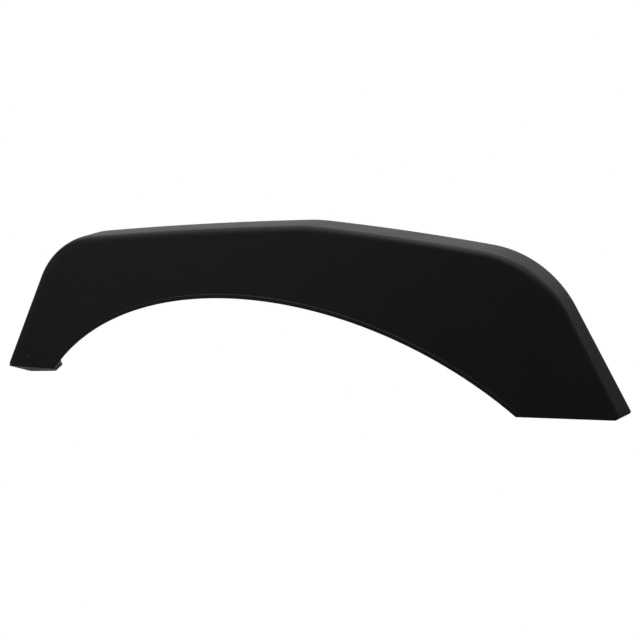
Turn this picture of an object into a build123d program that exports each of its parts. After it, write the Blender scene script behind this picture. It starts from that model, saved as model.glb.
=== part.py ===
"""Wheel arch trim: one moulded shell in black plastic.

Frame: X runs along the vehicle side (to the right when the visible face is
looked at), Z is up, and Y points into the vehicle. The plane Y = 0 is the
body panel that the trim sits on; the visible face is at Y = -depth. The
origin is the middle of the fixing lip under the apex of the outline.
"""
import os
from math import atan2, cos, radians, sin, tan

from build123d import *

# ------------------------------------------------------------------ section
depth = 65.0             # body panel to visible face
wall = 3.0               # moulded wall
front_edge_radius = 10.4 # bend between the visible face and the side wall
lip_width = 18.0         # fixing lip, turned inwards at the body side
lip_thickness = 3.0

# ------------------------------------------- outer outline, front view (x, z)
apex = (0.0, 10.2)                 # before rounding
shoulder_left = (-451.7, -33.4)    # before rounding
shoulder_right = (387.8, -30.6)    # before rounding
crown_left = 4.0                   # rise of each long top edge over its chord
crown_right = 4.2
left_leg_lean = 22.64              # degrees from upright
right_leg_lean = 29.45             # at the body; the side wall splays, so the
right_leg_lean_face = 28.5         # face edge of this leg stands steeper
apex_radius = 282.0
shoulder_left_radius = 123.0
shoulder_right_radius = 185.0
blank_low = -330.0                 # the blank runs below both feet

# ------------------------------------------------------------------- opening
arch_centre = (27.0, -501.1)       # tilted ellipse over the wheel
arch_long = 545.0                  # half axes
arch_short = 352.6
arch_tilt = -20.9                  # degrees, down towards the right
rim_width = 7.2                    # raised bead along the opening
rim_height = 0.6
rim_shoulder = 0.5                 # slope on the bead's upper side

# ---------------------------------------------------------------------- feet
left_foot_z = -256.0               # lower edge of the face on the short leg
left_foot_corner = 6.5             # rounding of its outer corner
right_foot_x = 354.6               # inner corner of the long leg
right_foot_z = -283.2
right_foot_rise = 1.95             # degrees, outwards and up
right_foot_corner = 7.0            # rounding of its outer corner: length along each side
right_foot_cut = 4.35              # and how far it stays inside the corner
right_foot_fade = 0.5              # the rounding at the body, as a share of that at the face
flange_corner = 7.0                # rounding at the body-side end of a leg
edge_break = 0.5

# ------- return lip under the left foot, sloping down from the face to its end
foot_lip_step = 0.7                # the lip starts this far behind the face
foot_lip_depth = 25.0              # face to the free end of the lip
foot_lip_out = (-545.6, -262.0)    # free end: outer corner, in line with the side wall
foot_lip_low = (-511.1, -267.8)    # free end: lowest point before rounding
foot_lip_in = (-463.8, -264.4)     # free end: inner corner before rounding
foot_lip_tab = (-450.8, -252.7)    # free end: where it stops at the opening

# ------------------------------------------------ small pip on the left foot
foot_pip = (-502.3, -238.4)
foot_pip_d = 5.0
foot_pip_height = 0.5

# ----------------------------------------------- clip holes in the fixing lip
clip_hole_d = 8.0
clip_top = ((-149.3, -10.0), (141.4, -10.0))
clip_leg_upper = ((-480.1, -125.0), (430.8, -125.0))
clip_leg_lower = ((-521.8, -225.0), (487.2, -225.0))


def left_edge(z):
    """x of the left leg's outer line at height z."""
    return shoulder_left[0] - tan(radians(left_leg_lean)) * (shoulder_left[1] - z)


def right_edge(z, front=0.0):
    """x of the right leg's outer line at height z, a distance in front of the body plane."""
    lean = right_leg_lean + (right_leg_lean_face - right_leg_lean) * front / depth
    return shoulder_right[0] + tan(radians(lean)) * (shoulder_right[1] - z)


def front_view(front):
    """Outer outline in the front view, a distance in front of the body plane."""
    foot = (right_edge(blank_low, front), blank_low)
    with BuildSketch() as view:
        with BuildLine():
            Line((left_edge(blank_low), blank_low), shoulder_left)
            SagittaArc(shoulder_left, apex, crown_left)
            SagittaArc(apex, shoulder_right, crown_right)
            Line(shoulder_right, foot)
            Line(foot, (left_edge(blank_low), blank_low))
        make_face()
        for spot, radius in (
            (apex, apex_radius),
            (shoulder_left, shoulder_left_radius),
            (shoulder_right, shoulder_right_radius),
        ):
            fillet(view.vertices().sort_by_distance((spot[0], spot[1], 0))[0], radius)
    return view.sketch


def right_foot_line(x):
    """z of the right foot's lower edge at x."""
    return right_foot_z + tan(radians(right_foot_rise)) * (x - right_foot_x)


def right_foot_tip(front):
    """Outer corner of the right foot before rounding, a distance in front of the body plane."""
    z = right_foot_z
    for _ in range(20):
        z = right_foot_line(right_edge(z, front))
    return right_edge(z, front), z


os.makedirs("parts", exist_ok=True)

# the room behind the face: one wall inside the outline, with the same bend
with BuildPart() as room:
    with BuildSketch(Plane.XZ.offset(lip_thickness)) as room_back:
        add(front_view(lip_thickness))
        offset(amount=-wall, mode=Mode.REPLACE)
    with BuildSketch(Plane.XZ.offset(depth - wall)) as room_front:
        add(front_view(depth - wall))
        offset(amount=-wall, mode=Mode.REPLACE)
    loft(ruled=True)
    room_face = room.faces().filter_by(Axis.Y).sort_by(Axis.Y)[0]
    fillet(room_face.edges().sort_by(Axis.Z)[1:], front_edge_radius - wall)

with BuildPart() as trim:
    # blank: the outer outline, from the body plane out to the visible face
    with BuildSketch(Plane.XZ) as outline:
        add(front_view(0.0))
    with BuildSketch(Plane.XZ.offset(depth)) as outline_face:
        add(front_view(depth))
    loft(ruled=True)

    # rounded bend along the top and both sides of the visible face
    visible_face = trim.faces().filter_by(Axis.Y).sort_by(Axis.Y)[0]
    fillet(visible_face.edges().sort_by(Axis.Z)[1:], front_edge_radius)

    # hollow behind the face
    add(room.part, mode=Mode.SUBTRACT)

    # open back: what stays of it is the fixing lip
    with BuildSketch(Plane.XZ.offset(-1.0)) as back:
        add(outline.sketch_local)
        offset(amount=-lip_width, mode=Mode.REPLACE)
    extrude(amount=lip_thickness + 2.0, mode=Mode.SUBTRACT)

    # raised bead along the opening, with a sloping shoulder
    with BuildSketch(Plane.XZ.offset(depth)) as bead:
        with Locations(arch_centre):
            Ellipse(arch_long + rim_width, arch_short + rim_width, rotation=arch_tilt)
    extrude(amount=rim_height)
    chamfer(trim.faces().filter_by(Axis.Y).sort_by(Axis.Y)[0].edges(), rim_shoulder)

    # wheel opening and the ends of both legs
    corner = (left_edge(left_foot_z), left_foot_z)
    lean = radians(90.0 - left_leg_lean)
    run = left_foot_corner / tan(lean / 2)
    low_pt = (corner[0] + run, left_foot_z)
    leg_pt = (corner[0] + run * cos(lean), corner[1] + run * sin(lean))
    mid_c = (low_pt[0], left_foot_z + left_foot_corner)
    out = atan2(corner[1] - mid_c[1], corner[0] - mid_c[0])
    mid_pt = (mid_c[0] + left_foot_corner * cos(out), mid_c[1] + left_foot_corner * sin(out))
    with BuildSketch(Plane.XZ.offset(-5.0)) as opening:
        with Locations(arch_centre):
            Ellipse(arch_long, arch_short, rotation=arch_tilt)
        with BuildLine():
            ThreePointArc(leg_pt, mid_pt, low_pt)
            Polyline(
                low_pt, (-420.0, left_foot_z), (-420.0, -1000.0), (-650.0, -1000.0),
                (-650.0, leg_pt[1] + 20.0), leg_pt,
            )
        make_face()
        with BuildLine():
            Polyline(
                (300.0, right_foot_line(300.0)), (650.0, right_foot_line(650.0)),
                (650.0, -1000.0), (300.0, -1000.0), close=True,
            )
        make_face()
        with Locations((0.0, -650.0)):
            Rectangle(1300.0, 700.0)
    extrude(amount=depth + 20.0, mode=Mode.SUBTRACT)

    # rounded outer corner of the long leg, following the splayed side wall
    for front in (-5.0, depth + 15.0):
        tip = right_foot_tip(front)
        lean = radians(90.0 + right_leg_lean + (right_leg_lean_face - right_leg_lean) * front / depth)
        foot = radians(180.0 + right_foot_rise)
        half = (lean + foot) / 2
        share = right_foot_fade + (1.0 - right_foot_fade) * front / depth
        side, cut = right_foot_corner * share, right_foot_cut * share
        foot_pt = (tip[0] + side * cos(foot), tip[1] + side * sin(foot))
        wall_pt = (tip[0] + side * cos(lean), tip[1] + side * sin(lean))
        round_pt = (tip[0] + cut * cos(half), tip[1] + cut * sin(half))
        with BuildSketch(Plane.XZ.offset(front)):
            with BuildLine():
                ThreePointArc(foot_pt, round_pt, wall_pt)
                Polyline(
                    wall_pt, (wall_pt[0] + 6.0, wall_pt[1]), (tip[0] + 9.0, tip[1] - 6.0),
                    (foot_pt[0], foot_pt[1] - 6.0), foot_pt,
                )
            make_face()
    loft(ruled=True, mode=Mode.SUBTRACT)

    # return lip under the left foot: a block that slopes down from the face and
    # runs out into the side wall
    lip_z = left_foot_z + 0.5
    with BuildSketch(Plane.XZ.offset(depth - foot_lip_depth)) as lip_back:
        with BuildLine():
            Polyline(
                foot_lip_out, foot_lip_low, foot_lip_in, foot_lip_tab,
                (-454.5, -243.0), (-537.5, -246.0), (-541.6, -249.6), close=True,
            )
        make_face()
        fillet(lip_back.vertices().sort_by_distance((foot_lip_low[0], foot_lip_low[1], 0))[0], 30.0)
        fillet(lip_back.vertices().sort_by_distance((foot_lip_in[0], foot_lip_in[1], 0))[0], 8.0)
    for front, corners, radius in (
        (55.0, ((-544.1, -258.0), (-508.4, -260.0), (-502.0, -260.1), (-460.3, -258.9),
                (-448.5, -247.65), (-452.5, -241.15), (-537.0, -246.5), (-541.4, -249.6)), 5.0),
        (60.0, ((-541.0, -256.65), (-506.4, -257.6), (-500.0, -257.6), (-459.2, -257.1),
                (-447.8, -245.95), (-451.8, -240.5), (-535.5, -248.0), (-538.6, -249.6)), 4.0),
        (depth - foot_lip_step, ((-533.5, lip_z), (-504.6, lip_z), (-498.4, lip_z), (-458.2, lip_z),
                (-447.1, -244.5), (-451.2, -240.0), (-528.0, -249.0), (-531.0, -250.5)), 3.0),
    ):
        with BuildSketch(Plane.XZ.offset(front)) as lip_section:
            with BuildLine():
                Polyline(*corners, close=True)
            make_face()
            fillet(lip_section.vertices().sort_by_distance((corners[3][0], corners[3][1], 0))[0], radius)
    loft(ruled=True)

    # the block is hollowed from behind down to the moulded wall
    for front, corners in (
        (depth - foot_lip_depth - 1.0, ((-542.0, -259.0), (-511.3, -264.6), (-465.0, -261.3), (-454.6, -252.0), (-457.0, -234.0), (-531.6, -234.0))),
        (55.5, ((-539.3, -254.6), (-504.2, -256.2), (-461.2, -255.3), (-452.0, -246.2), (-454.8, -234.0), (-531.2, -234.0))),
        (depth - wall - 0.3, ((-531.0, -253.0), (-501.5, -253.0), (-459.8, -253.0), (-451.0, -244.0), (-454.0, -234.0), (-524.5, -234.0))),
    ):
        with BuildSketch(Plane.XZ.offset(front)):
            with BuildLine():
                Polyline(*corners, close=True)
            make_face()
    loft(ruled=True, mode=Mode.SUBTRACT)

    # rounded body-side corner at the end of each leg
    for x_mid, z_end in ((left_edge(left_foot_z) + 10.0, left_foot_z), (right_edge(right_foot_z) - 10.0, right_foot_line(right_edge(right_foot_z)))):
        with BuildSketch(Plane.YZ.offset(x_mid)) as leg_corner:
            with Locations((0.0, z_end)):
                Rectangle(2 * flange_corner, 2 * flange_corner)
            with Locations((-flange_corner, z_end + flange_corner)):
                Circle(flange_corner, mode=Mode.SUBTRACT)
            with Locations((-flange_corner, z_end + flange_corner)):
                Rectangle(2 * flange_corner, 2 * flange_corner, align=(Align.MAX, Align.CENTER), mode=Mode.SUBTRACT)
                Rectangle(2 * flange_corner, 2 * flange_corner, align=(Align.CENTER, Align.MIN), mode=Mode.SUBTRACT)
        extrude(amount=25.0, both=True, mode=Mode.SUBTRACT)

    # clip holes through the fixing lip
    with BuildSketch(Plane.XZ.offset(-1.0)) as clips:
        with Locations(*clip_top, *clip_leg_upper, *clip_leg_lower):
            Circle(clip_hole_d / 2)
    extrude(amount=lip_thickness + 2.0, mode=Mode.SUBTRACT)

    # small rounded pip near the foot of the short leg
    with BuildSketch(Plane.XZ.offset(depth)) as pip:
        with Locations(foot_pip):
            Circle(foot_pip_d / 2)
    extrude(amount=foot_pip_height)
    pip_top = trim.faces().filter_by(Axis.Y).sort_by_distance((foot_pip[0], -depth - foot_pip_height, foot_pip[1]))[0]
    fillet(pip_top.edges(), foot_pip_height * 0.9)

    # softened edges: the bead on both sides, then the lower end of the long leg
    bead_top = trim.faces().filter_by(Axis.Y).filter_by_position(Axis.Y, -depth - rim_height - 0.05, -depth - rim_height + 0.05)[0]
    fillet(bead_top.edges().sort_by(SortBy.LENGTH)[-2:], edge_break)
    foot_end = trim.faces().filter_by(GeomType.PLANE).sort_by(Axis.Z)[0]
    fillet(foot_end.edges().filter_by_position(Axis.Y, -depth - 0.01, -depth + 0.01), edge_break)

trim.part.label = "arch_trim"
export_step(trim.part, "parts/arch_trim.step")
print("solids", len(trim.solids()), "volume cm3", round(trim.part.volume / 1000, 1), trim.part.bounding_box())
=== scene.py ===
import math

import bmesh
import bpy
import numpy as np
from mathutils import Matrix, Vector


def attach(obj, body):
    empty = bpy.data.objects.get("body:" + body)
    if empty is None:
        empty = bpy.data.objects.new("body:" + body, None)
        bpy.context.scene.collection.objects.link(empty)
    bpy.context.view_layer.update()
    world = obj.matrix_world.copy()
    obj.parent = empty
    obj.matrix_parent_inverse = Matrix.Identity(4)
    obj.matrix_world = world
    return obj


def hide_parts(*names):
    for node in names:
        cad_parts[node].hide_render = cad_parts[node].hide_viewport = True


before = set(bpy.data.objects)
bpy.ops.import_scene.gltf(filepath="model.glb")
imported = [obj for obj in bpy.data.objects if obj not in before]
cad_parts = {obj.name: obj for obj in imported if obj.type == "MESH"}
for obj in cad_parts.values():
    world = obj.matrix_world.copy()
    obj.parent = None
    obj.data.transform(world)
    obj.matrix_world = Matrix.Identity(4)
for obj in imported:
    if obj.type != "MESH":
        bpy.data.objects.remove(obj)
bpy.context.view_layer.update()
scene = bpy.context.scene
scene.view_settings.view_transform = "Standard"

# ---------------------------------------------------------------- camera
# a long lens, 20 degrees to the right of square on and 9.3 degrees above
yaw, pitch, distance = math.radians(20.0), math.radians(9.3), 4.05
aim = Vector((0.02495, -0.065, -0.14618))
ahead = Vector((-math.sin(yaw) * math.cos(pitch), math.cos(yaw) * math.cos(pitch), -math.sin(pitch)))
right = Vector((math.cos(yaw), math.sin(yaw), 0.0))
up = right.cross(ahead)
lens = bpy.data.cameras.new("camera")
lens.sensor_width = 36.0
lens.lens = 140.625
lens.clip_end = 200.0
lens.shift_x = -0.5 / 640
lens.shift_y = 0.5 / 640
camera = bpy.data.objects.new("camera", lens)
place = aim - ahead * distance
pose = Matrix.Identity(4)
for i in range(3):
    pose[i][0], pose[i][1], pose[i][2], pose[i][3] = right[i], up[i], -ahead[i], place[i]
camera.matrix_world = pose
scene.collection.objects.link(camera)
scene.camera = camera

# ----------------------------------------------------------- moulded shell
# The moulding is modelled again here with a fine, even mesh and softened
# edges, from its own dimensions in millimetres.
DEPTH, WALL = 65.0, 3.0
LIP, LIP_THICK = 18.0, 3.0           # fixing lip at the body side
BEND_FACE, BEND_SIDE = 13.6, 10.4    # run of the bend on the face and on the side wall
SOFT = 0.5                           # broken edges
LOW = -345.0                         # the sweep runs below both feet
ARCH_C, ARCH_A, ARCH_B, ARCH_TILT = np.array((27.0, -501.1)), 545.0, 352.6, math.radians(-20.9)
RIM, RIM_UP = 7.2, 0.6               # raised bead along the opening
LEFT_Z, LEFT_ROUND = -256.0, 6.5     # short leg: end and outer corner
RIGHT_X, RIGHT_Z, RIGHT_RISE = 354.6, -283.2, math.tan(math.radians(1.95))
RIGHT_ROUND, RIGHT_CUT = 7.0, 4.35   # long leg's outer corner: length along each side, depth of the cut
LEAN_LEFT, LEAN_RIGHT, LEAN_RIGHT_FACE = 22.64, 29.45, 28.5
CORNER = 7.0                         # body-side corner at the end of a leg
PIP = (-502.3, -238.4)               # small pip on the face of the short leg


def unit(angle):
    return np.array((math.cos(angle), math.sin(angle)))


def heading(v):
    return math.atan2(v[1], v[0])


def arc_over(a, b, rise):
    """Centre and radius of the arc from a to b that rises over its chord."""
    chord = b - a
    half = np.linalg.norm(chord) / 2
    radius = (half * half + rise * rise) / (2 * rise)
    above = np.array((-chord[1], chord[0])) / (2 * half)
    return (a + b) / 2 - above * (radius - rise), radius


def on_line(start, along, centre, radius):
    """The point of a line at a distance from a centre, nearest to the line's start."""
    v = start - centre
    b, c = v @ along, v @ v - radius * radius
    root = math.sqrt(b * b - c)
    t = min((-b - root, -b + root), key=abs)
    return start + t * along


def above_both(c1, r1, c2, r2):
    """The upper point where two circles meet."""
    v = c2 - c1
    d = np.linalg.norm(v)
    t = (d * d + r1 * r1 - r2 * r2) / (2 * d)
    h = math.sqrt(r1 * r1 - t * t)
    v /= d
    side = np.array((-v[1], v[0]))
    return max((c1 + t * v + h * side, c1 + t * v - h * side), key=lambda p: p[1])


def outline(lean_right):
    """Points and outward normals of the outer outline in the front view, from the left foot to the right."""
    left, apex, right_ = np.array((-451.7, -33.4)), np.array((0.0, 10.2)), np.array((387.8, -30.6))
    c1, r1 = arc_over(left, apex, 4.0)
    c2, r2 = arc_over(apex, right_, 4.2)
    a, b = math.radians(LEAN_LEFT), math.radians(lean_right)
    n_left, n_right = np.array((-math.cos(a), math.sin(a))), np.array((math.cos(b), math.sin(b)))
    rl, ra, rr = 123.0, 282.0, 185.0
    cl = on_line(left - rl * n_left, np.array((math.sin(a), math.cos(a))), c1, r1 - rl)
    ca = above_both(c1, r1 - ra, c2, r2 - ra)
    cr = on_line(right_ - rr * n_right, np.array((math.sin(b), -math.cos(b))), c2, r2 - rr)
    points, normals = [], []

    def sweep(centre, radius, start, end, count):
        for k in range(count):
            n = unit(start + (end - start) * k / count)
            points.append(centre + radius * n)
            normals.append(n)

    def leg(top, n, down, steps):
        for s in steps:
            points.append(top + down * s * (LOW - top[1]) / down[1])
            normals.append(n)

    leg(cl + rl * n_left, n_left, np.array((-math.sin(a), -math.cos(a))), [1 - k / 9 for k in range(9)])
    sweep(cl, rl, heading(n_left), heading(cl - c1), 46)
    sweep(c1, r1, heading(cl - c1), heading(ca - c1), 30)
    sweep(ca, ra, heading(ca - c1), heading(ca - c2), 14)
    sweep(c2, r2, heading(ca - c2), heading(cr - c2), 28)
    sweep(cr, rr, heading(cr - c2), heading(n_right), 58)
    leg(cr + rr * n_right, n_right, np.array((math.sin(b), -math.cos(b))), [k / 9 for k in range(10)])
    return points, normals


def section():
    """The wall's section: (distance in from the side wall, distance behind the face), from the face round to the inside."""
    bend, inner = [], []
    p = [np.array(v) for v in ((BEND_FACE, 0.0), (BEND_FACE * 0.38, 0.0), (0.0, BEND_SIDE * 0.44), (0.0, BEND_SIDE))]
    for k in range(17):
        t = k / 16
        at = (1 - t) ** 3 * p[0] + 3 * t * (1 - t) ** 2 * p[1] + 3 * t * t * (1 - t) * p[2] + t ** 3 * p[3]
        go = (1 - t) ** 2 * (p[1] - p[0]) + 2 * t * (1 - t) * (p[2] - p[1]) + t * t * (p[3] - p[2])
        go /= np.linalg.norm(go)
        bend.append(tuple(at))
        inner.append((at[0] + WALL * go[1], at[1] - WALL * go[0]))

    hold = DEPTH - LIP_THICK
    quarter = [(math.cos(math.pi / 2 * k / 4), math.sin(math.pi / 2 * k / 4)) for k in range(5)]
    path = bend + [(0.0, d) for d in (22.0, 33.0, 44.0, 55.0)]
    path += [(SOFT - SOFT * c, DEPTH - SOFT + SOFT * s) for c, s in quarter]
    path += [(LIP - SOFT + SOFT * s, DEPTH - SOFT + SOFT * c) for c, s in quarter]
    path += [(LIP - SOFT + SOFT * c, hold + SOFT - SOFT * s) for c, s in quarter]
    path += [(WALL + 1.0 - s, hold - 1.0 + c) for c, s in quarter]
    path += [(WALL, d) for d in (55.0, 44.0, 33.0, 22.0)]
    return path + inner[::-1]


def solid(name, verts, faces):
    """A closed mesh from millimetres, faces outwards."""
    mesh = bpy.data.meshes.new(name)
    mesh.from_pydata([tuple(0.001 * c for c in v) for v in verts], [], faces)
    bm = bmesh.new()
    bm.from_mesh(mesh)
    bmesh.ops.recalc_face_normals(bm, faces=bm.faces)
    bm.to_mesh(mesh)
    bm.free()
    obj = bpy.data.objects.new(name, mesh)
    scene.collection.objects.link(obj)
    return obj


def stack(name, layers):
    """A closed mesh through a row of polygons with the same number of corners."""
    n = len(layers[0])
    verts = [p for layer in layers for p in layer]
    faces = [list(range(n)), list(range((len(layers) - 1) * n, len(layers) * n))]
    for j in range(len(layers) - 1):
        for k in range(n):
            a, b = j * n + k, j * n + (k + 1) % n
            faces.append((a, b, b + n, a + n))
    return solid(name, verts, faces)


def tray():
    """The folded wall swept along the outline, closed by the face in upright strips."""
    body, body_n = outline(LEAN_RIGHT)
    face, face_n = outline(LEAN_RIGHT_FACE)
    path = section()
    m, k = len(body), len(path)
    verts = []
    for i in range(m):
        for inward, behind in path:
            t = behind / DEPTH
            n = face_n[i] * (1 - t) + body_n[i] * t
            n = n / np.linalg.norm(n)
            p = face[i] * (1 - t) + body[i] * t - inward * n
            if i in (0, m - 1):
                down = np.array((-n[1], n[0])) if i == 0 else np.array((n[1], -n[0]))
                p = p + down * (LOW - p[1]) / down[1]
            verts.append((p[0], behind - DEPTH, p[1]))
    faces = [(i * k + j, i * k + j + 1, (i + 1) * k + j + 1, (i + 1) * k + j) for i in range(m - 1) for j in range(k - 1)]
    faces += [list(range(k)), list(range((m - 1) * k, m * k))]
    low = []
    for edge in (0, k - 1):
        feet = [edge]
        for i in range(1, m - 1):
            x, y, z = verts[i * k + edge]
            feet.append(len(verts))
            verts.append((x, y, LOW))
        feet.append((m - 1) * k + edge)
        for i in range(m - 1):
            ring = (i * k + edge, (i + 1) * k + edge, feet[i + 1], feet[i])
            faces.append(list(dict.fromkeys(ring)))
        low.append(feet)
    faces += [(low[0][i], low[0][i + 1], low[1][i + 1], low[1][i]) for i in range(m - 1)]
    return solid("arch_trim_shell", verts, faces)


def arch(angle, out):
    """A point of the opening's tilted ellipse, made larger all round."""
    x, z = (ARCH_A + out) * math.cos(angle), (ARCH_B + out) * math.sin(angle)
    c, s = math.cos(ARCH_TILT), math.sin(ARCH_TILT)
    return ARCH_C + np.array((x * c - z * s, x * s + z * c))


def soft_row(corners, fill):
    """A closed row through corners (x, z, length cut off either side of it), rounded, with points filled in between."""
    spots = [np.array(c[:2]) for c in corners]
    runs = []
    for i, (spot, cut) in enumerate(zip(spots, (c[2] for c in corners))):
        if not cut:
            runs.append([spot])
            continue
        before, after = spots[i - 1] - spot, spots[(i + 1) % len(spots)] - spot
        start, end = spot + before / np.linalg.norm(before) * cut, spot + after / np.linalg.norm(after) * cut
        runs.append([(1 - t) ** 2 * start + 2 * t * (1 - t) * spot + t * t * end for t in (k / 6 for k in range(7))])
    row = []
    for i, run in enumerate(runs):
        onward = runs[(i + 1) % len(runs)][0]
        row += run + [run[-1] + (onward - run[-1]) * k / (fill[i] + 1) for k in range(1, fill[i] + 1)]
    return [tuple(p) for p in row]


def at(row, y):
    return [(p[0], y, p[1]) for p in row]


def join(target, tool, kind):
    """Adds or cuts a tool and lets it go."""
    mod = target.modifiers.new(kind, "BOOLEAN")
    mod.operation, mod.object, mod.solver = kind, tool, "EXACT"
    mesh = bpy.data.meshes.new_from_object(target.evaluated_get(bpy.context.evaluated_depsgraph_get()))
    target.modifiers.clear()
    old, target.data = target.data, mesh
    bpy.data.meshes.remove(old)
    bpy.data.objects.remove(tool)


def shell():
    piece = tray()

    # raised bead along the opening, with a sloping shoulder
    bead = [(RIM + 0.2, -DEPTH + 1.2), (RIM + 0.2, -DEPTH + 0.05), (RIM, -DEPTH - 0.06), (RIM - 0.12, -DEPTH - 0.2), (RIM - 0.36, -DEPTH - 0.44),
            (RIM - 0.55, -DEPTH - 0.56), (RIM - 0.8, -DEPTH - RIM_UP), (-3.0, -DEPTH - RIM_UP), (-3.0, -DEPTH + 1.2)]
    turn = [math.radians(58.0 + (183.0 - 58.0) * k / 230) for k in range(231)]
    rows = []
    for t in turn:
        row = []
        for out, y in bead:
            x, z = arch(t, out)
            row.append((x, y, z))
        rows.append(row)
    join(piece, stack("bead", rows), "UNION")

    # wheel opening: broken edges in front and behind
    front, back = -DEPTH - RIM_UP, -DEPTH + WALL
    levels = [(12.0, 0.4), (back, 0.4), (back - 0.06, 0.22), (back - 0.18, 0.08), (back - 0.4, 0.0)]
    levels += [(front + SOFT - SOFT * math.sin(math.pi / 2 * k / 4), SOFT - SOFT * math.cos(math.pi / 2 * k / 4)) for k in range(5)]
    levels.append((-90.0, SOFT))
    rows = []
    for y, out in levels:
        row = [tuple(arch(t, out)) for t in turn]
        rows.append(at(row + [(row[-1][0] - 2.0, -460.0), (row[0][0] + 2.0, -460.0)], y))
    join(piece, stack("opening", rows), "DIFFERENCE")

    # end of the short leg, with a rounded outer corner
    lean = math.radians(90.0 - LEAN_LEFT)
    x0 = -451.7 - math.tan(math.radians(LEAN_LEFT)) * (-33.4 - LEFT_Z)
    run = LEFT_ROUND / math.tan(lean / 2)
    low_pt, leg_pt = (x0 + run, LEFT_Z), (x0 + run * math.cos(lean), LEFT_Z + run * math.sin(lean))
    centre = np.array((low_pt[0], LEFT_Z + LEFT_ROUND))
    start, end = heading(np.array(leg_pt) - centre), -math.pi / 2
    end += 2 * math.pi if start > 0 else 0.0
    clear = 0.03 * unit(start)    # the rounding starts a hair outside the wall
    corner = [tuple(centre + clear + LEFT_ROUND * unit(start + (end - start) * k / 10)) for k in range(11)]
    row = corner + [(-380.0, LEFT_Z), (-380.0, -470.0), (-640.0, -470.0), (-640.0, leg_pt[1] + 20.0)]
    join(piece, stack("left_end", [at(row, 15.0), at(row, -90.0)]), "DIFFERENCE")

    # end of the long leg, rising outwards, with a broken front edge
    rows = []
    for y, lift in [(15.0, 0.0)] + [(-DEPTH + SOFT - SOFT * math.sin(math.pi / 2 * k / 4), SOFT - SOFT * math.cos(math.pi / 2 * k / 4)) for k in range(5)] + [(-90.0, SOFT)]:
        rows.append(at([(250.0, RIGHT_Z + RIGHT_RISE * (250.0 - RIGHT_X) + lift), (680.0, RIGHT_Z + RIGHT_RISE * (680.0 - RIGHT_X) + lift), (680.0, -470.0), (250.0, -470.0)], y))
    join(piece, stack("right_end", rows), "DIFFERENCE")

    # rounded outer corner of the long leg, following the splayed side wall
    rows = []
    for front in (-5.0, DEPTH + 15.0):
        lean = LEAN_RIGHT + (LEAN_RIGHT_FACE - LEAN_RIGHT) * front / DEPTH
        slope = math.tan(math.radians(lean))
        tip_x = (387.8 + slope * (-30.6 - RIGHT_Z + RIGHT_RISE * RIGHT_X)) / (1 + slope * RIGHT_RISE)
        tip = np.array((tip_x, RIGHT_Z + RIGHT_RISE * (tip_x - RIGHT_X)))
        along_wall, along_foot = math.radians(90.0 + lean), math.pi + math.atan(RIGHT_RISE)
        share = 0.5 + 0.5 * front / DEPTH    # less rounded towards the body
        wall_pt, foot_pt = tip + share * RIGHT_ROUND * unit(along_wall), tip + share * RIGHT_ROUND * unit(along_foot)
        middle = (wall_pt + foot_pt) / 2
        rise = np.linalg.norm(middle - tip) - share * RIGHT_CUT
        centre, radius = arc_over(foot_pt, wall_pt, -rise)
        start = heading(foot_pt - centre)
        turn_by = (heading(wall_pt - centre) - start + math.pi) % (2 * math.pi) - math.pi
        row = [tuple(centre + abs(radius) * unit(start + turn_by * k / 12)) for k in range(13)]
        row += [(wall_pt[0] + 6.0, wall_pt[1]), (tip[0] + 9.0, tip[1] - 6.0), (foot_pt[0], foot_pt[1] - 6.0)]
        rows.append(at(row, -front))
    join(piece, stack("right_corner", rows), "DIFFERENCE")

    # return lip under the short leg: a block that slopes down from the face, runs out
    # into the side wall and is hollowed from behind; corners are (x, z, cut for rounding)
    z = LEFT_Z + 0.5
    fill = (10, 12, 2, 0, 0, 0, 0)
    rows = []
    for front, corners in (
        (40.0, ((-545.6, -262.0, 0), (-511.1, -267.8, 3.4), (-463.8, -264.4, 2.8), (-450.8, -252.7, 0), (-454.5, -243.0, 0), (-537.5, -246.0, 0), (-541.6, -249.6, 0))),
        (55.0, ((-544.1, -258.0, 0), (-505.2, -260.1, 3.2), (-460.3, -258.9, 1.9), (-448.5, -247.65, 0), (-452.5, -241.15, 0), (-537.0, -246.5, 0), (-541.4, -249.6, 0))),
        (60.0, ((-541.0, -256.65, 0), (-503.2, -257.6, 3.1), (-459.2, -257.1, 1.6), (-447.8, -245.95, 0), (-451.8, -240.5, 0), (-535.5, -248.0, 0), (-538.6, -249.6, 0))),
        (DEPTH - 0.7, ((-533.5, z, 0), (-501.5, z, 3.1), (-458.2, z, 1.3), (-447.1, -244.5, 0), (-451.2, -240.0, 0), (-528.0, -249.0, 0), (-531.0, -250.5, 0))),
    ):
        rows.append(at(soft_row(corners, fill), -front))
    join(piece, stack("foot_lip", rows), "UNION")
    rows = []
    for front, corners in (
        (39.0, ((-542.0, -259.0, 0), (-511.3, -264.6, 3.0), (-465.0, -261.3, 2.0), (-454.6, -252.0, 0), (-457.0, -234.0, 0), (-531.6, -234.0, 0))),
        (55.5, ((-539.3, -254.6, 0), (-504.2, -256.2, 3.0), (-461.2, -255.3, 2.0), (-452.0, -246.2, 0), (-454.8, -234.0, 0), (-531.2, -234.0, 0))),
        (DEPTH - WALL - 0.3, ((-531.0, -253.0, 0), (-501.5, -253.0, 3.0), (-459.8, -253.0, 2.0), (-451.0, -244.0, 0), (-454.0, -234.0, 0), (-524.5, -234.0, 0))),
    ):
        rows.append(at(soft_row(corners, fill), -front))
    join(piece, stack("foot_room", rows), "DIFFERENCE")

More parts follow.
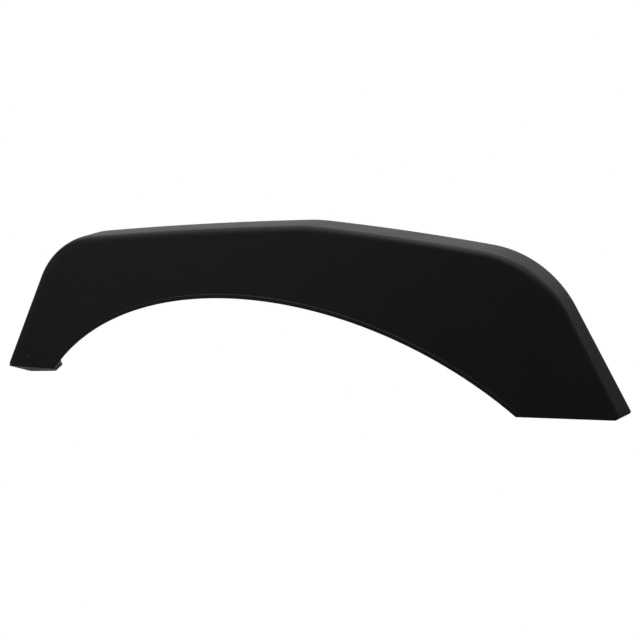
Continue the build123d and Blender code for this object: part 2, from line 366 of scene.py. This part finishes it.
    # rounded body-side corner at the end of each leg
    right_end = 387.8 + math.tan(math.radians(LEAN_RIGHT)) * (-30.6 - RIGHT_Z)
    for x, z in ((x0 + 10.0, LEFT_Z), (right_end - 10.0, RIGHT_Z + RIGHT_RISE * (right_end - RIGHT_X))):
        row = [(-CORNER + CORNER * math.sin(math.pi / 2 * k / 8), z + CORNER - CORNER * math.cos(math.pi / 2 * k / 8)) for k in range(9)]
        row += [(8.0, z + CORNER), (8.0, z - 8.0), (-CORNER, z - 8.0)]
        join(piece, stack("leg_corner", [[(x + side, y, h) for y, h in row] for side in (-25.0, 25.0)]), "DIFFERENCE")

    # clip holes through the fixing lip, slightly countersunk on both sides
    for x, z in ((-149.3, -10.0), (141.4, -10.0), (-480.1, -125.0), (430.8, -125.0), (-521.8, -225.0), (487.2, -225.0)):
        rows = [[(x + r * math.cos(2 * math.pi * k / 40), y, z + r * math.sin(2 * math.pi * k / 40)) for k in range(40)]
                for y, r in ((5.0, 4.4), (0.0, 4.4), (-0.4, 4.0), (-LIP_THICK + 0.4, 4.0), (-LIP_THICK, 4.4), (-8.0, 4.4))]
        join(piece, stack("clip_hole", rows), "DIFFERENCE")

    # small rounded pip near the foot of the short leg
    rows = []
    for r, h in [(2.5, -1.0), (2.5, 0.03)] + [(2.05 + 0.45 * math.cos(math.pi / 2 * k / 5), 0.04 + 0.45 * math.sin(math.pi / 2 * k / 5)) for k in range(1, 6)] + [(0.8, 0.5)]:
        rows.append([(PIP[0] + r * math.cos(2 * math.pi * k / 32), -DEPTH - h, PIP[1] + r * math.sin(2 * math.pi * k / 32)) for k in range(32)])
    join(piece, stack("pip", rows), "UNION")

    # shading: smooth over the bends, crisp at the cut edges
    bm = bmesh.new()
    bm.from_mesh(piece.data)
    bmesh.ops.remove_doubles(bm, verts=bm.verts, dist=3e-6)
    bmesh.ops.dissolve_degenerate(bm, edges=bm.edges, dist=3e-6)
    bmesh.ops.recalc_face_normals(bm, faces=bm.faces)
    for f in bm.faces:
        f.smooth = True
    for e in bm.edges:
        e.smooth = len(e.link_faces) == 2 and e.calc_face_angle() < math.radians(32.0)
    bm.to_mesh(piece.data)
    bm.free()
    even = piece.modifiers.new("even_normals", "WEIGHTED_NORMAL")
    even.mode = "FACE_AREA_WITH_ANGLE"
    even.keep_sharp = True
    mesh = bpy.data.meshes.new_from_object(piece.evaluated_get(bpy.context.evaluated_depsgraph_get()), preserve_all_data_layers=True, depsgraph=bpy.context.evaluated_depsgraph_get())
    piece.modifiers.clear()
    old, piece.data = piece.data, mesh
    bpy.data.meshes.remove(old)
    piece.data.name = piece.name
    return piece


# -------------------------------------------------------------- material
def black_plastic():
    """Satin black moulded plastic: fine spark grain, uneven gloss, paler worn edges, and a painted highlight on the
    pip.
    """
    mat = bpy.data.materials.new("black_plastic_satin")
    mat.use_nodes = True
    nodes, links = mat.node_tree.nodes, mat.node_tree.links
    skin = nodes["Principled BSDF"]
    skin.inputs["Specular IOR Level"].default_value = 0.5

    where = nodes.new("ShaderNodeTexCoord")

    def noise(scale, detail, rough):
        n = nodes.new("ShaderNodeTexNoise")
        n.inputs["Scale"].default_value = scale
        n.inputs["Detail"].default_value = detail
        n.inputs["Roughness"].default_value = rough
        links.new(where.outputs["Object"], n.inputs["Vector"])
        return n.outputs["Fac"]

    def spread(value, a, b, low, high):
        n = nodes.new("ShaderNodeMapRange")
        n.inputs["From Min"].default_value = a
        n.inputs["From Max"].default_value = b
        n.inputs["To Min"].default_value = low
        n.inputs["To Max"].default_value = high
        links.new(value, n.inputs["Value"])
        return n.outputs["Result"]

    def maths(kind, a, b):
        n = nodes.new("ShaderNodeMath")
        n.operation = kind
        for socket, v in zip(n.inputs, (a, b)):
            if isinstance(v, (int, float)):
                socket.default_value = v
            else:
                links.new(v, socket)
        return n.outputs["Value"]

    # edges: where a rounded normal leaves the face's own
    rounded = nodes.new("ShaderNodeBevel")
    rounded.samples = 6
    rounded.inputs["Radius"].default_value = 0.0006
    own = nodes.new("ShaderNodeNewGeometry")
    same = nodes.new("ShaderNodeVectorMath")
    same.operation = "DOT_PRODUCT"
    links.new(rounded.outputs["Normal"], same.inputs[0])
    links.new(own.outputs["Normal"], same.inputs[1])
    edge = spread(same.outputs["Value"], 0.98, 0.80, 0.0, 1.0)
    worn = maths("MULTIPLY", edge, spread(noise(95.0, 3.0, 0.6), 0.35, 0.7, 0.15, 1.0))

    # colour: near black, faintly cloudy, greyer on worn edges
    cloud = noise(14.0, 4.0, 0.55)
    tone = nodes.new("ShaderNodeMix")
    tone.data_type = "RGBA"
    links.new(cloud, tone.inputs["Factor"])
    tone.inputs["A"].default_value = (0.0092, 0.0092, 0.0095, 1.0)
    tone.inputs["B"].default_value = (0.0122, 0.0122, 0.0125, 1.0)
    wear = nodes.new("ShaderNodeMix")
    wear.data_type = "RGBA"
    links.new(maths("MULTIPLY", worn, 0.4), wear.inputs["Factor"])
    links.new(tone.outputs["Result"], wear.inputs["A"])
    wear.inputs["B"].default_value = (0.030, 0.030, 0.031, 1.0)

    # painted highlight: the pip's base colour is made paler than the plastic round it, standing in for the light its
    # top catches from above
    to_pip = nodes.new("ShaderNodeVectorMath")
    to_pip.operation = "DISTANCE"
    links.new(where.outputs["Object"], to_pip.inputs[0])
    to_pip.inputs[1].default_value = (0.001 * PIP[0], -0.001 * DEPTH, 0.001 * PIP[1])
    pip_highlight_paint = nodes.new("ShaderNodeMix")
    pip_highlight_paint.data_type = "RGBA"
    links.new(spread(to_pip.outputs["Value"], 0.0026, 0.0018, 0.0, 1.0), pip_highlight_paint.inputs["Factor"])
    links.new(wear.outputs["Result"], pip_highlight_paint.inputs["A"])
    pip_highlight_paint.inputs["B"].default_value = (0.038, 0.038, 0.037, 1.0)
    # base colour carries the painted highlight on the pip
    links.new(pip_highlight_paint.outputs["Result"], skin.inputs["Base Color"])

    # gloss: satin, uneven on two scales
    gloss = maths("ADD", spread(noise(9.0, 3.0, 0.5), 0.3, 0.7, 0.345, 0.395), spread(noise(420.0, 2.0, 0.5), 0.3, 0.7, -0.02, 0.02))
    links.new(gloss, skin.inputs["Roughness"])

    # relief: spark grain over a faint waviness of the moulding
    grain = nodes.new("ShaderNodeTexVoronoi")
    grain.feature = "SMOOTH_F1"
    grain.inputs["Scale"].default_value = 1250.0
    grain.inputs["Smoothness"].default_value = 0.6
    links.new(where.outputs["Object"], grain.inputs["Vector"])
    height = maths("ADD", maths("MULTIPLY", grain.outputs["Distance"], 0.6), maths("MULTIPLY", noise(2300.0, 2.0, 0.6), 0.4))
    fine = nodes.new("ShaderNodeBump")
    fine.inputs["Strength"].default_value = 0.16
    fine.inputs["Distance"].default_value = 0.00012
    links.new(height, fine.inputs["Height"])
    links.new(rounded.outputs["Normal"], fine.inputs["Normal"])
    links.new(fine.outputs["Normal"], skin.inputs["Normal"])
    return mat


trim = shell()
trim.data.materials.clear()
trim.data.materials.append(black_plastic())
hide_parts("arch_trim")
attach(trim, "root")

# ----------------------------------------------------------------- stage
bpy.ops.mesh.primitive_plane_add(size=120.0, location=(0.0, 0.0, -0.45))
floor = bpy.context.object
floor.name = "floor"
pale = bpy.data.materials.new("floor_pale")
pale.use_nodes = True
pale.node_tree.nodes.clear()
glow = pale.node_tree.nodes.new("ShaderNodeEmission")
glow.inputs["Color"].default_value = (1.0, 1.0, 1.0, 1.0)
glow.inputs["Strength"].default_value = 1.0
end = pale.node_tree.nodes.new("ShaderNodeOutputMaterial")
pale.node_tree.links.new(glow.outputs["Emission"], end.inputs["Surface"])
floor.data.materials.append(pale)
floor.visible_diffuse = False
floor.visible_glossy = False
floor.visible_shadow = False

# plain white all round, and a faint even light from everywhere
world = bpy.data.worlds.new("studio")
scene.world = world
world.use_nodes = True
sky = world.node_tree
fill_light = sky.nodes["Background"]
fill_light.inputs["Color"].default_value = (1.0, 1.0, 1.0, 1.0)
fill_light.inputs["Strength"].default_value = 0.052
backdrop = sky.nodes.new("ShaderNodeBackground")
backdrop.inputs["Color"].default_value = (1.0, 1.0, 1.0, 1.0)
backdrop.inputs["Strength"].default_value = 1.0
seen = sky.nodes.new("ShaderNodeLightPath")
either = sky.nodes.new("ShaderNodeMixShader")
sky.links.new(seen.outputs["Is Camera Ray"], either.inputs[0])
sky.links.new(fill_light.outputs["Background"], either.inputs[1])
sky.links.new(backdrop.outputs["Background"], either.inputs[2])
sky.links.new(either.outputs["Shader"], sky.nodes["World Output"].inputs["Surface"])


def panel(name, spot, facing, width, height, watts):
    light = bpy.data.lights.new(name, "AREA")
    light.shape = "RECTANGLE"
    light.size, light.size_y = width, height
    light.energy = watts
    box = bpy.data.objects.new(name, light)
    box.location = spot
    box.rotation_euler = Vector(facing).to_track_quat("-Z", "Y").to_euler()
    box.visible_camera = False
    scene.collection.objects.link(box)


# a lit ceiling in three strips, each from the back to the front
for strip, x, watts in (("left", -1.4, (6.22, 9.02, 6.0, 2.06, 6.34)), ("middle", 0.0, (5.83, 9.62, 7.36, 3.63, 7.71)), ("right", 1.4, (4.08, 4.34, 1.27, 2.05, 0.0))):
    for y, power in zip((1.5, 0.5, -0.5, -1.5, -2.5), watts):
        if power:
            panel(f"ceiling_{strip}_{y:+.1f}", (x, y, 1.7), (0.0, 0.0, -1.0), 1.4, 1.0, power)
# pale walls: front left, left, right and behind
for z, power in ((1.3, 1.2), (0.5, 1.73), (-0.2, 1.1)):
    panel(f"front_left_{z:+.1f}", (-1.6, -3.2, z), (0.0, 1.0, 0.0), 1.6, 0.8, power)
panel("left_front", (-2.4, -1.6, 0.1), (1.0, 0.0, 0.0), 1.6, 0.9, 1.59)
panel("left_back_high", (-2.4, 1.6, 1.0), (1.0, 0.0, 0.0), 1.6, 0.9, 2.95)
panel("left_back_low", (-2.4, 1.6, 0.1), (1.0, 0.0, 0.0), 1.6, 0.9, 3.5)
panel("right_high", (2.4, 0.0, 1.0), (-1.0, 0.0, 0.0), 1.6, 0.9, 0.37)
for side, x, high, low in (("left", -2.0, 3.37, 1.35), ("middle", 0.0, 2.26, 3.1), ("right", 2.0, 0.58, 0.21)):
    panel(f"back_{side}_high", (x, 3.4, 1.1), (0.0, -1.0, 0.0), 2.0, 0.9, high)
    panel(f"back_{side}_low", (x, 3.4, 0.2), (0.0, -1.0, 0.0), 2.0, 0.9, low)
# light thrown back by the floor
for name, x, y, power in (("back_left", -1.0, 0.65, 0.82), ("back", 0.0, 0.65, 0.53), ("front_left", -1.0, -1.2, 0.33), ("front_right", 1.0, -1.2, 0.74)):
    panel(f"floor_{name}", (x, y, -0.445), (0.0, 0.0, 1.0), 1.0, 1.2, power)
